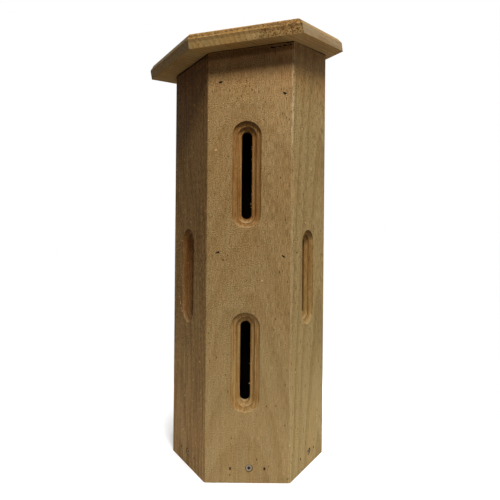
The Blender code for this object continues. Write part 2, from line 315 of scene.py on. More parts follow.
def roof_frame():
    """Frame of the roof on its underside, its thickness, and the apothem of its hexagon."""
    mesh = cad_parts["roof_board"].data
    under = sum((p.normal * p.area for p in mesh.polygons if p.normal.z < DOWNWARD), Vector())
    normal = -under.normalized()
    across = (Vector((1, 0, 0)) - normal * normal.x).normalized()
    away = normal.cross(across)
    spots = [Vector((v.co @ across, v.co @ away, v.co @ normal)) for v in mesh.vertices]
    low = Vector([min(s[k] for s in spots) for k in range(3)])
    high = Vector([max(s[k] for s in spots) for k in range(3)])
    turn = Matrix((across, away, normal)).transposed().to_4x4()
    seat = turn @ Vector(((low.x + high.x) / 2, (low.y + high.y) / 2, low.z))
    return Matrix.Translation(seat) @ turn, high.z - low.z, (high.y - low.y) / 2


ROOF_PLACE, ROOF_THICKNESS, ROOF_APOTHEM = roof_frame()
ROOF_NORMAL = ROOF_PLACE.to_3x3() @ UP


def wall_top_z(x, y):
    """Height of a wall's top edge, one joint gap under the roof."""
    seat = ROOF_PLACE.translation - ROOF_NORMAL * JOINT_GAP
    return seat.z - (ROOF_NORMAL.x * (x - seat.x) + ROOF_NORMAL.y * (y - seat.y)) / ROOF_NORMAL.z


# Wall boards

def wall_section():
    """Outline of a mitred board from above, with rounds at its outer corners."""
    half = FACE_WIDTH / 2 - JOINT_GAP / 2 / math.cos(CORNER_ANGLE / 2)
    radius = CORNER_REACH / MITRE_SLOPE
    turns = [CORNER_ANGLE / 2 * k / CORNER_STEPS for k in range(CORNER_STEPS + 1)]
    side = [
        (half - CORNER_REACH + radius * math.sin(a), radius * (1 - math.cos(a))) for a in turns
    ]
    side.append((half - WALL_THICKNESS * MITRE_SLOPE, WALL_THICKNESS))
    return side + [(-x, y) for x, y in reversed(side)]


def ease_edges(work, edges):
    bmesh.ops.bevel(
        work, geom=edges, offset=EDGE_EASE, segments=EASE_STEPS, profile=0.5, affect="EDGES",
        clamp_overlap=True,
    )


def ease_face_edges(work, low, high):
    """Rounds the edges of a wall's outer face between two heights, short of its corners."""
    outer = FACE_WIDTH / 2 - CORNER_REACH
    edges = []
    for edge in work.edges:
        middle = (edge.verts[0].co + edge.verts[1].co) / 2
        if low < middle.z < high and middle.y < EDGE_EASE and abs(middle.x) < outer:
            edges.append(edge)
    ease_edges(work, edges)


def cove(outer_radius, width, start_depth, depth):
    """Radius and depth down a concave step, steep at its rim and nearly flat at its foot."""
    drop = math.sin(COVE_END) - math.sin(COVE_START)
    sweep = math.cos(COVE_START) - math.cos(COVE_END)
    points = []
    for k in range(COVE_STEPS + 1):
        turn = COVE_START + (COVE_END - COVE_START) * k / COVE_STEPS
        inward = width * (math.cos(COVE_START) - math.cos(turn)) / sweep
        down = depth * (math.sin(turn) - math.sin(COVE_START)) / drop
        points.append((outer_radius - inward, start_depth + down))
    return points


def slot_profile():
    """Radius and depth of the slot from outside the board to inside the tower."""
    slot = SLOT_WIDTH / 2
    ring = slot + INNER_COVE_WIDTH
    rim = ring + OUTER_COVE_WIDTH
    rounding = [
        (rim + RIM_ROUND * (1 - math.sin(a)), RIM_ROUND * (1 - math.cos(a)))
        for a in map(math.radians, (30, 60, 90))
    ]
    profile = [(rim + RIM_ROUND, -MOUTH), (rim + RIM_ROUND, -RIM_ROUND / 10)] + rounding
    profile += cove(rim, OUTER_COVE_WIDTH, COVE_WALL, OUTER_COVE_DEPTH - COVE_WALL)
    inner_start = OUTER_COVE_DEPTH + COVE_WALL
    profile += cove(ring, INNER_COVE_WIDTH, inner_start, INNER_COVE_DEPTH - COVE_WALL)
    return profile + [(slot, WALL_THICKNESS + MOUTH)]


def stadium(radius, straight, depth):
    """Ring of points round a slot: two half circles joined by straight sides."""
    ring = []
    for end in (1, -1):
        for k in range(ARC_STEPS + 1):
            turn = math.pi * k / ARC_STEPS
            x, z = radius * math.cos(turn), radius * math.sin(turn)
            ring.append(Vector((end * x, depth, end * (z + straight / 2))))
    return ring


def slots_of(name):
    return SLOT_LEVELS["one" if WALL_NAMES.index(name) % 2 else "two"]


def cut_slots(work, name):
    for height, length in slots_of(name):
        middle = wall_place(name) @ Matrix.Translation((SLOT_SHIFT, 0, height))
        rings = [stadium(radius, length - SLOT_WIDTH, depth) for radius, depth in slot_profile()]
        loft_at(work, middle, rings)


def fastener_axis(node):
    """Middle of a fastener's head and the direction in which it was driven."""
    spots = [v.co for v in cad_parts[node].data.vertices]
    middle = sum(spots, Vector()) / len(spots)
    end = max(spots, key=lambda s: (s - middle).length)
    start = max(spots, key=lambda s: (s - end).length)
    along = (end - start).normalized()
    for _ in range(2):
        head = [s for s in spots if (s - start) @ along < END_SLICE]
        tail = [s for s in spots if (end - s) @ along < END_SLICE]
        start = sum(head, Vector()) / len(head)
        end = sum(tail, Vector()) / len(tail)
        along = (end - start).normalized()
    tip_width = max((s - end - along * ((s - end) @ along)).length for s in tail)
    head_width = max((s - start - along * ((s - start) @ along)).length for s in head)
    return (start, along, end) if head_width > tip_width else (end, -along, start)


def fasteners_in(name):
    """Fasteners that enter a wall: its own, and its neighbours' mitre brads."""
    index = WALL_NAMES.index(name)
    before, after = WALL_NAMES[index - 1], WALL_NAMES[index + 1 - len(WALL_NAMES)]
    found = [f"floor_screw_{name}", f"floor_brad_{name}_1", f"floor_brad_{name}_2"]
    for level in ("upper", "middle"):
        found += [f"mitre_brad_{name}_{level}_{side}" for side in ("left", "right")]
        found += [f"mitre_brad_{before}_{level}_right", f"mitre_brad_{after}_{level}_left"]
    return found


def cut_fastener(work, node):
    """Hole for a fastener, with the joint gap all round it and an open mouth."""
    start, along, end = fastener_axis(node)
    length = (end - start).length
    if node.startswith("floor_screw"):
        head, shank = SCREW_HEAD_DIAMETER / 2, SCREW_SHANK_DIAMETER / 2
        pocket = POCKET_DIAMETER / 2 - JOINT_GAP
        outline = [
            (pocket, -SCREW_SINK - MOUTH), (pocket, -SCREW_SINK - LIP), (head, 0),
            (head, SCREW_HEAD_RIM), (shank, SCREW_HEAD_RIM + head - shank),
        ]
    else:
        head = shank = BRAD_HEAD_DIAMETER / 2 - JOINT_GAP + BRAD_GAP
        outline = [(head, -MOUTH)]
    outline.append((shank, length + JOINT_GAP))
    rings = [circle(radius + JOINT_GAP, height, HOLE_SIDES) for radius, height in outline]
    loft_at(work, aimed(start, along), rings)


def cut_dent(work, name, brad):
    """Oval dent in a wall's face round the head of one of its mitre brads."""
    place = wall_place(name)
    start = place.inverted() @ fastener_axis(f"mitre_brad_{name}_{brad}")[0]
    tilt = Matrix.Rotation(math.radians(DENT_TILTS.get(f"{name}_{brad}", 0)), 4, (0, -1, 0))
    aside, above = DENT_SHIFTS.get(f"{name}_{brad}", (0, 0))
    seat = place @ Matrix.Translation((start.x + aside, 0, start.z + above)) @ tilt
    length, width = DENT_SIZES.get(name, PLAIN_DENT)
    rings = []
    for share, depth in DENT_PROFILE:
        oval = circle(share / 2, depth, HOLE_SIDES)
        rings.append([Vector((p.x * length, p.z, p.y * width)) for p in oval])
    loft_at(work, seat, rings)


def ragged(share, swing, pace):
    return 1 + swing * math.sin(share * pace)


def cut_along_top(work, length, section):
    """Opening along the front board's top edge, from its right-hand end. Section gives the
    depth and height of a slice's corners, from its share of the length and the edge's height."""
    place = wall_place("front")
    rings = []
    for k in range(CRACK_STEPS + 1):
        share = k / CRACK_STEPS
        x = FACE_WIDTH / 2 + MOUTH - (length + MOUTH) * share
        edge = place @ Vector((x, 0, 0))
        corners = section(share, wall_top_z(edge.x, edge.y) - FOOT_Z)
        rings.append([place @ Vector((x, depth, height)) for depth, height in corners])
    loft(work, rings)


def split_section(share, edge_z):
    """Wedge that opens towards the board's end."""
    foot = edge_z - SPLIT_HEIGHT * (1 - share) * ragged(share, *SPLIT_WAVER)
    top = edge_z + MOUTH
    return (-MOUTH, foot), (SPLIT_DEPTH, foot), (SPLIT_DEPTH, top), (-MOUTH, top)


def crack_section(share, edge_z):
    """Thin crack under the edge, frayed along its run and wider at its inner end."""
    middle = edge_z - CRACK_DROP * ragged(share, *CRACK_WAVER)
    half = CRACK_HEIGHT / 2 * (ragged(share, *CRACK_FRAY) + CRACK_END_FRAY * (share > CRACK_END))
    return (
        (-MOUTH, middle - half), (CRACK_DEPTH, middle - half / 2),
        (CRACK_DEPTH, middle + half / 2), (-MOUTH, middle + half),
    )


def blank_mesh(name):
    """A wall's mitred board in its own frame, with nothing cut into it yet."""
    place = wall_place(name)
    left_drop, right_drop = TOP_DROPS[name]
    foot = [Vector((x, y, 0)) for x, y in wall_section()]
    top = []
    for point in foot:
        world = place @ point
        drop = left_drop + (right_drop - left_drop) * (point.x / FACE_WIDTH + 0.5)
        top.append(Vector((point.x, point.y, wall_top_z(world.x, world.y) - FOOT_Z - drop)))
    work = bmesh.new()
    loft(work, [foot, top])
    low_top = min(point.z for point in top)
    ease_face_edges(work, -math.inf, EDGE_EASE)
    ease_face_edges(work, low_top - EDGE_EASE, math.inf)
    return mesh_from("blank", work)


def wall_mesh(name):
    place = wall_place(name)
    mesh = blank_mesh(name)
    tools = bmesh.new()
    cut_slots(tools, name)
    for node in fasteners_in(name):
        cut_fastener(tools, node)
    if name == "front":
        cut_along_top(tools, SPLIT_LENGTH, split_section)
        cut_along_top(tools, CRACK_LENGTH, crack_section)
    dents = bmesh.new()
    for brad in ("upper_left", "upper_right", "middle_left", "middle_right"):
        cut_dent(dents, name, brad)
    for tool in (mesh_from("tools", tools), mesh_from("dents", dents)):
        tool.transform(place.inverted())
        mesh = carve(mesh, tool)
    mesh.transform(place)
    return mesh


def glue_line_mesh(name):
    """Thin glue that fills the mitre between a wall and the next one round."""
    away = outward(wall_heading(name) + CORNER_ANGLE / 2)
    across = Vector((-away.y, away.x, 0)) * (JOINT_GAP / 2)
    bulge = CORNER_REACH / MITRE_SLOPE * (1 / math.cos(CORNER_ANGLE / 2) - 1)
    outer = APOTHEM / math.cos(CORNER_ANGLE / 2) - bulge - GLUE_RECESS
    inner = (APOTHEM - WALL_THICKNESS) / math.cos(CORNER_ANGLE / 2)
    foot, top = [], []
    for reach, side in ((inner, -1), (outer, -1), (outer, 1), (inner, 1)):
        spot = away * reach + across * side
        foot.append(Vector((spot.x, spot.y, FOOT_Z + GLUE_RECESS)))
        top.append(Vector((spot.x, spot.y, wall_top_z(spot.x, spot.y) - GLUE_RECESS)))
    return lofted("glue_line_" + name, [foot, top])


def splinters_mesh():
    """Short fibres, thick in the middle and pointed, that lean into the through slots."""
    place = wall_place("front")
    chance = random.Random(SPLINTER_SEED)
    work = bmesh.new()
    for slot, above, reach in SPLINTERS:
        height = slots_of("front")[slot][0] + above
        lean = Vector((-1, chance.uniform(-0.5, 0.1), chance.uniform(-0.8, 0.5))).normalized()
        root = Vector((SLOT_SHIFT + SLOT_WIDTH / 2 + SPLINTER_RADIUS, SPLINTER_DEPTH, height))
        rings = [
            circle(SPLINTER_RADIUS * share, reach * along, SPLINTER_SIDES)
            for along, share in SPLINTER_SHAPE
        ]
        loft_at(work, place @ aimed(root, lean), rings)
    return mesh_from("splinters_front", work)


# Roof board

def hexagon(apothem, height):
    """Corners of a hexagon whose flats face the same way as the walls."""
    reach = apothem / math.cos(CORNER_ANGLE / 2)
    turns = [wall_heading(name) + CORNER_ANGLE / 2 for name in WALL_NAMES]
    return [Vector((reach * math.cos(a), reach * math.sin(a), height)) for a in turns]


def roof_mesh():
    work = bmesh.new()
    loft(work, [
        hexagon(ROOF_APOTHEM, 0),
        hexagon(ROOF_APOTHEM, ROOF_THICKNESS - ROOF_BEVEL_HEIGHT),
        hexagon(ROOF_APOTHEM - ROOF_BEVEL_WIDTH, ROOF_THICKNESS),
    ])
    ease_edges(work, work.edges[:])
    mesh = mesh_from("roof", work)
    mesh.transform(ROOF_PLACE)
    tools = bmesh.new()
    for name in WALL_NAMES:
        cut_fastener(tools, "roof_brad_" + name)
    return carve(mesh, mesh_from("tools", tools))


# Screws

def recess_mesh():
    """Cross recess that the driver bit turns, narrowing towards its foot."""
    rings = []
    for height in (-RECESS_DEPTH, MOUTH):
        share = 1 + height / RECESS_DEPTH * RECESS_TAPER
        half, narrow = RECESS_SPAN / 2 * share, RECESS_WIDTH / 2
        quarter = [(half, -narrow), (half, narrow), (narrow, narrow)]
        ring = []
        for _ in range(4):
            ring += [Vector((x, y, height)) for x, y in quarter]
            quarter = [(-y, x) for x, y in quarter]
        rings.append(ring)
    return lofted("recess", rings)


def screw_mesh(length):
    """Countersunk screw along -Z with a cross recess and a rolled thread."""
    head, shank = SCREW_HEAD_DIAMETER / 2, SCREW_SHANK_DIAMETER / 2
    core = SCREW_CORE_DIAMETER / 2
    rim = SCREW_HEAD_RIM / 5
    neck = SCREW_HEAD_RIM + head - core
    outline = ((head - rim, 0), (head, -rim), (head, -SCREW_HEAD_RIM), (core, -neck))
    rings = [circle(radius, height, SCREW_SIDES) for radius, height in outline]
    rows = int((length - neck) / SCREW_PITCH * THREAD_ROWS)
    for k in range(1, rows + 1):
        height = neck + (length - neck) * k / rows
        taper = min(1, (length - height) / SCREW_TIP)
        ring = []
        for j in range(SCREW_SIDES):
            turn = math.tau * j / SCREW_SIDES
            phase = (height / SCREW_PITCH + j / SCREW_SIDES) % 1
            crest = max(0, 1 - abs(phase - 0.5) * THREAD_SLOPE)
            radius = (core + (shank - core) * crest) * taper + SCREW_TIP_RADIUS
            ring.append(Vector((radius * math.cos(turn), radius * math.sin(turn), -height)))
        rings.append(ring)
    mesh = carve(lofted("screw", rings), recess_mesh())
    # faces in the cross recess carry the painted shade
    shade_reach = RECESS_SPAN / 2 * SHADE_MARGIN
    recess_shade = mesh.attributes.new("recess_shade", "FLOAT", "FACE")
    for face in mesh.polygons:
        reach = math.hypot(face.center.x, face.center.y)
        recess_shade.data[face.index].value = float(reach < shade_reach and face.center.z < -rim)
    return mesh


# Materials

# Zones in millimetres of a board's own frame, each from where an effect starts to where it is full
FIBRES_RIGHT = (-10, 30)
SPECKLE_UP = (60, 280)
PORES_UP = (60, 360)
DRIFT_UP = (120, 300)
# Painted shade under the eaves, and a painted pool of light below it
EAVES_SHADE_FULL = 455
LIGHT_POOL_RIGHT = (2, 34)
LIGHT_POOL_UP = (310, 385)
HIGHLIGHT_ASIDE = (43.1, 43.8)
RIM_DEPTH = (1, 0.6)
HIGHLIGHT_UP = (260, 440)
CUT_DEPTH = (0.1, 0.4)
CUT_UP = (150, 230)
FOOT_HIGHLIGHT_UP = (140, 230)
LIP_DEPTH = (6.4, 7.2)
STEP_DEPTHS = (3.84, 3.96, 4.6, 4.8)  # on, full, fading and off again
THROUGH_DEPTH = (7.35, 7.5)
SHADED_SIDE = (-4, -2.6)
SCREWS_DOWN = (60, 50)
SCREWS_UP = (3, 6)
BESIDE_SLOTS = (15, 16.5)  # off the slots' middle line
DEEP_SHADE_DEPTH = (0.3, 0.4)
INSIDE_DEPTH = (14.6, 15.6)
INSIDE_UP = (8, 12)
FLOOR_BRAD_ASIDE = 18
FLOOR_BRAD_HEIGHT = 15
BRAD_RING_RADIUS = (1.25, 0.85)
BRAD_RING_SQUEEZE = 0.62  # width of a ring over its height

# Factors on the wood's own colour, for grain and cut wood, and for painted light and shade
SPECKLE_TINT = (1, 1.04, 1.28)
FLECK_TINT = (2.6, 2.8, 3.2)
# painted pool of light
LIGHT_POOL_TINT = (1.14, 1.17, 1.27)
# painted highlight on the rounded corners, low down and high up
HIGHLIGHT_LOW, HIGHLIGHT_HIGH = (1.22, 1.3, 1.46), (1.42, 1.66, 2.2)
CUT_TINT = (0.86, 0.74, 0.58)
LOW_CUT_TINT = (1.2, 1.35, 1.52)
TORN_TINT = (0.76, 0.58, 0.36)
# painted highlight at the slots' foot and lip, and painted shade in their arch and on their steps
FOOT_HIGHLIGHT_TINT = (1.28, 1.62, 2.35)
LIP_HIGHLIGHT_TINT = (1.5, 1.7, 2.1)
ARCH_SHADE_TINT = (0.54, 0.52, 0.5)
STEP_SHADE_TINT = (0.46, 0.4, 0.34)
# painted shade in the screw pockets
POCKET_SHADE_TINT = (0.45, 0.42, 0.36)

# Plain colours, linear
UNCHANGED = (1, 1, 1)
# Painted shade, near black: in deep wood, on the inside, in the gap under the roof and in the screw recess
DEEP_SHADE = (0.012, 0.006, 0.003)
INSIDE_SHADE = (0.012, 0.008, 0.005)
GAP_SHADE = (0.01, 0.006, 0.004)
RECESS_SHADE = (0.015, 0.011, 0.008)
GAP_START, GAP_FULL = 0.0004, 0.001  # metres in from the walls' outer faces
SEED_STEP = 700  # millimetres of grain between two boards


class Graph:
    """Short names for building the node tree of a material or the world."""

    def __init__(self, owner, shader="Principled BSDF"):
        owner.use_nodes = True
        self.owner = owner
        self.tree = owner.node_tree
        self.shader = self.tree.nodes[shader]

    def node(self, kind, inputs=(), **settings):
        made = self.tree.nodes.new("ShaderNode" + kind)
        for key, value in settings.items():
            setattr(made, key, value)
        for key, value in dict(inputs).items():
            self.feed(made.inputs[key], value)
        return made

    def feed(self, socket, value):
        """Links a socket to another, or sets its value. Colours are given without alpha."""
        if isinstance(value, bpy.types.NodeSocket):
            self.tree.links.new(value, socket)
        elif socket.type == "RGBA":
            socket.default_value = (*value, 1)
        else:
            socket.default_value = value

    def shade(self, **inputs):
        """Feeds the shader's own sockets, with _ for a space in their names."""
        for key, value in inputs.items():
            self.feed(self.shader.inputs[key.replace("_", " ")], value)

    def bump(self, height, strength, distance):
        made = self.node("Bump", {"Height": height, "Strength": strength, "Distance": distance})
        self.shade(Normal=made.outputs[0])

    def math(self, operation, *values, clamp=False):
        made = self.node("Math", operation=operation, use_clamp=clamp)
        for socket, value in zip(made.inputs, values):
            self.feed(socket, value)
        return made.outputs[0]

    def chain(self, operation, first, *others):
        """The operation done with each of the other values in turn."""
        for other in others:
            first = self.math(operation, first, other)
        return first

    def product(self, *values):
        return self.chain("MULTIPLY", *values)

    def linear(self, value, factor, offset):
        return self.math("MULTIPLY_ADD", value, factor, offset)

    def centred(self, noise, strength):
        """Noise of the given strength about 0."""
        return self.product(self.math("SUBTRACT", noise, 0.5), strength)

    def length(self, x, y):
        return self.math("SQRT", self.math("ADD", self.product(x, x), self.product(y, y)))

    def vector(self, operation, first, second, output="Vector"):
        return self.node("VectorMath", {0: first, 1: second}, operation=operation).outputs[output]

    def axes(self, vector):
        return self.node("SeparateXYZ", {0: vector}).outputs

    def noise(self, vector, scale, detail=2, roughness=0.5):
        """Noise from 0 to 1 whose cells measure 1 / scale along each axis."""
        made = self.node("TexNoise", {
            "Vector": self.vector("MULTIPLY", vector, scale), "Scale": 1,
            "Detail": detail, "Roughness": roughness,
        })
        return made.outputs["Fac"]

    def spots(self, vector, scale, share, edge, faintest):
        """Round spots in a random share of the cells of 1 / scale. Edge is where a spot starts and
        where it is full, off its cell's middle, and each has a strength from faintest to 1."""
        made = self.node("TexVoronoi", {"Vector": self.vector("MULTIPLY", vector, scale), "Scale": 1})
        pick, depth, _ = self.node("SeparateColor", {"Color": made.outputs["Color"]}).outputs
        chosen = self.math("LESS_THAN", pick, share)
        strength = self.linear(depth, 1 - faintest, faintest)
        return self.product(chosen, self.ramp(made.outputs["Distance"], *edge), strength)

    def ramp(self, value, low, high):
        """0 at low and 1 at high, with a smooth step between."""
        made = self.node("MapRange", {
            "Value": value, "From Min": low, "From Max": high,
        }, interpolation_type="SMOOTHSTEP")
        return made.outputs["Result"]

    def band(self, value, start, full, fade, end):
        """1 from full to fade, and 0 before start and after end."""
        return self.product(self.ramp(value, start, full), self.ramp(value, end, fade))

    def mix(self, factor, first, second, blend="MIX"):
        made = self.node("Mix", data_type="RGBA", blend_type=blend)
        for key, value in (("Factor_Float", factor), ("A_Color", first), ("B_Color", second)):
            socket = next(s for s in made.inputs if s.identifier == key)
            self.feed(socket, value)
        return next(s for s in made.outputs if s.identifier == "Result_Color")

    def times(self, first, second):
        return self.mix(1, first, second, "MULTIPLY")

    def tint(self, where, base, factors):
        """The base colour, multiplied by the factors where the mask is 1."""
        return self.mix(where, base, self.times(base, factors))


def colour(red, green, blue):
    """Linear colour from screen values of 0 to 255."""
    return tuple(
        (v / 255 / 12.92) if v < 11 else ((v / 255 + 0.055) / 1.055) ** 2.4
        for v in (red, green, blue)
    )


class Timber(Graph):
    """Wood in millimetres of its own board: growth rings round a pith that leans along Z,
    fibres along Z, and pores that are dashes on the long grain and dots on the end grain."""

    def __init__(self, name, place, look, seed):
        super().__init__(bpy.data.materials.new(name))
        self.look = look
        self.coordinates = self.node("TexCoord").outputs["Object"]
        board = self.millimetres(place)
        self.x, self.y, self.z = self.axes(board)
        self.grain = self.vector("ADD", board, (0, 0, SEED_STEP * seed))
        self.fine = self.noise(self.grain, look["fibre_cells"], 1.5)
        self.phase = self.ring_phase()
        self.pores = self.pore_mask()

    def millimetres(self, place):
        """Position in millimetres of the frame at place."""
        return self.node("Mapping", {
            "Vector": self.coordinates, "Location": place.translation,
            "Rotation": place.to_euler(), "Scale": (MILLIMETRE,) * 3,
        }, vector_type="TEXTURE").outputs[0]

    def ring_phase(self):
        """How far across its growth ring a point lies, from 0 to 1."""
        centre_x, centre_y, lean_x, lean_y = self.look["pith"]
        off_x = self.math("SUBTRACT", self.x, self.linear(self.z, lean_x, centre_x))
        off_y = self.math("SUBTRACT", self.y, self.linear(self.z, lean_y, centre_y))
        waver = self.noise(self.grain, (0.03, 0.03, 0.008), 3)
        radius = self.linear(waver, 9, self.length(off_x, off_y))
        return self.math("FRACT", self.math("DIVIDE", radius, self.look["ring_width"]))

    def pore_mask(self):
        """Pores, most of them in the early wood of each ring, and fewer down the board."""
        width, length = self.look["pore_size"]
        count, bands = self.look["pores"], self.look["pore_bands"]
        share = self.linear(self.ramp(self.phase, 0.5, 0.2), 2.5 * bands * count, (1 - bands) * count)
        share = self.product(share, self.math("ADD", self.ramp(self.z, *PORES_UP), 0.5))
        return self.spots(self.grain, (1 / width, 1 / width, 1 / length), share, (0.48, 0.22), 0.3)

    def speckle(self):
        """Factors near 1 of fibres and grit. Fibres gain on grit towards the board's right."""
        right = self.ramp(self.x, *FIBRES_RIGHT)
        fibres = self.product(self.centred(self.fine, self.look["fibres"]), self.linear(right, 0.25, 0.85))
        grit = self.centred(self.noise(self.grain, (1.7, 1.7, 0.9), 1), self.look["grit"])
        both = self.linear(grit, self.linear(right, -0.4, 1.05), fibres)
        both = self.product(both, self.linear(self.ramp(self.z, *SPECKLE_UP), 0.65, 0.62))
        return self.vector("ADD", self.vector("MULTIPLY", both, SPECKLE_TINT), UNCHANGED)

    def clear_wood(self):
        """Rings, streaks and broad patches of two hues, with fibres, pores and pale flecks."""
        look = self.look
        late = self.band(self.phase, 0.35, 0.9, 0.93, 1)
        streaks = self.math("SUBTRACT", self.noise(self.grain, (0.3, 0.3, 0.012), 3, 0.55), 0.5)
        tone = self.linear(late, look["rings"], 0.35)
        tone = self.math("MULTIPLY_ADD", streaks, look["streaks"], tone, clamp=True)
        patches = self.ramp(self.noise(self.grain, (0.04, 0.04, 0.014), 3, 0.55), 0.35, 0.65)
        wood = self.tint(patches, self.mix(tone, look["light"], look["dark"]), look["patch"])
        wood = self.mix(self.pores, self.times(wood, self.speckle()), look["pore_colour"])
        flecks = self.spots(self.grain, (0.36, 0.36, 0.42), look["flecks"], (0.5, 0.3), 0.2)
        return self.tint(flecks, wood, FLECK_TINT)

    def hue_drift_and_painted_light(self, wood):
        """Slow drift of hue up the board, painted shade under the eaves where the roof's shadow falls,
        and a painted pool of light on the upper right below it.
        """
        look = self.look
        drift = self.mix(self.ramp(self.z, *DRIFT_UP), look["low_tint"], look["high_tint"])
        # painted shade of the roof's overhang, warmed by light off its underside
        eaves_shade = self.mix(self.ramp(self.z, look["eaves_shade_from"], EAVES_SHADE_FULL), UNCHANGED, look["eaves_shade"])
        wood = self.times(self.times(wood, drift), eaves_shade)
        # painted pool of light on the upper right, under the roof's shadow
        light_pool = self.product(self.ramp(self.x, *LIGHT_POOL_RIGHT), self.ramp(self.z, *LIGHT_POOL_UP), look["light_pool"])
        return self.tint(light_pool, wood, LIGHT_POOL_TINT)

    def dressed(self, wood):
        return wood

    def finished(self):
        """The material, with a dull surface and the relief of fibres and pores."""
        wood = self.dressed(self.hue_drift_and_painted_light(self.clear_wood()))
        self.shade(Base_Color=wood, Roughness=self.linear(self.fine, 0.15, 0.75), Specular_IOR_Level=0.1)
        self.bump(self.linear(self.pores, -0.8, self.fine), 0.35, 0.0003)
        return self.owner


class BoardTimber(Timber):
    """Wood of a routed wall board."""

    def dressed(self, wood):
        return self.holes(self.routed_slots(self.corner_highlight(wood)))

    def corner_highlight(self, wood):
        """Painted highlight down the rounded outer corners, by the look's share for
        the left and the right.
        """
        left, right = self.look["highlight"]
        share = self.linear(self.math("GREATER_THAN", self.x, 0), right - left, left)
        corner = self.ramp(self.math("ABSOLUTE", self.x), *HIGHLIGHT_ASIDE)
        # painted highlight where the rounded corner catches the light, stronger higher up
        highlight = self.product(corner, share, self.ramp(self.y, *RIM_DEPTH))
        return self.tint(highlight, wood, self.mix(self.ramp(self.z, *HIGHLIGHT_UP), HIGHLIGHT_LOW, HIGHLIGHT_HIGH))

    def bare_cut(self, wood):
        """Freshly cut wood, paler in the low slots, with darker torn fibres."""
        bare = self.mix(0.5, self.times(wood, CUT_TINT), self.look["cut"])
        bare = self.times(bare, self.mix(self.ramp(self.z, *CUT_UP), LOW_CUT_TINT, UNCHANGED))
        torn = self.noise(self.grain, (0.6, 0.6, 0.03), 2.5, 0.6)
        torn = self.product(self.ramp(torn, 0.48, 0.58), self.look["torn"])
        return self.tint(torn, bare, TORN_TINT)

    def routed_slots(self, wood):
        """Bare wood in the slots, with a painted highlight on the faces that look up at their foot,
        and painted shade in their arch, along their steps, at the rim and down the through slot.
        """
        upward = self.axes(self.node("NewGeometry").outputs["Normal"])[2]
        # painted highlight on faces that look up, weaker in the lower slot
        foot = self.product(self.ramp(upward, 0.2, 0.8), self.look["foot_highlight"],
                            self.linear(self.ramp(self.z, *FOOT_HIGHLIGHT_UP), 0.65, 0.35))
        cut = self.tint(foot, self.bare_cut(wood), FOOT_HIGHLIGHT_TINT)
        # painted highlight at the through slot's lip
        cut = self.tint(self.product(foot, self.ramp(self.y, *LIP_DEPTH)), cut, LIP_HIGHLIGHT_TINT)
        # painted shade on faces that look down, in the arch
        cut = self.tint(self.ramp(upward, -0.15, -0.75), cut, ARCH_SHADE_TINT)
        # painted shade along the steps, at the rim and down the through slot, most on the slot's
        # right-hand side
        steps = self.chain(
            "MAXIMUM", self.band(self.y, *STEP_DEPTHS), self.ramp(self.y, *THROUGH_DEPTH),
            self.product(self.ramp(self.y, *RIM_DEPTH), 0.6))
        shaded = self.linear(self.ramp(self.x, *SHADED_SIDE), 0.9, 0.1)
        steps = self.product(steps, shaded, self.ramp(upward, 0.6, 0.2), self.look["steps"])
        cut = self.tint(steps, cut, STEP_SHADE_TINT)
        return self.mix(self.ramp(self.y, *CUT_DEPTH), wood, cut)

    def holes(self, wood):
        """Painted shade in the screw pockets, a dark ring round each floor brad, near-black painted
        shade in the dents, cracks and other deep wood, and painted shade on the unlit inside of the tower."""
        low = self.ramp(self.z, *SCREWS_DOWN)
        # painted shade in the screw pockets and other hollows low on the board
        pocket_shade = self.product(low, self.ramp(self.z, *SCREWS_UP), self.ramp(self.y, *CUT_DEPTH))
        wood = self.tint(pocket_shade, wood, POCKET_SHADE_TINT)
        # a dark ring round each floor brad
        off_x = self.math("SUBTRACT", self.math("ABSOLUTE", self.x), FLOOR_BRAD_ASIDE)
        off_z = self.product(self.math("SUBTRACT", self.z, FLOOR_BRAD_HEIGHT), BRAD_RING_SQUEEZE)
        brad_ring = self.ramp(self.length(off_x, off_z), *BRAD_RING_RADIUS)
        wood = self.mix(brad_ring, wood, colour(64, 34, 16))
        # near-black painted shade in the dents, the split and crack, the brad holes and other deep wood
        off_slots = self.math("ABSOLUTE", self.math("SUBTRACT", self.x, SLOT_SHIFT / MILLIMETRE))
        deep_shade = self.product(
            self.ramp(off_slots, *BESIDE_SLOTS), self.math("SUBTRACT", 1, low),
            self.ramp(self.y, *DEEP_SHADE_DEPTH))
        wood = self.mix(deep_shade, wood, DEEP_SHADE)
        # painted shade on the unlit inside of the tower
        inside = self.product(self.ramp(self.y, *INSIDE_DEPTH), self.ramp(self.z, *INSIDE_UP))
        return self.mix(inside, wood, INSIDE_SHADE)


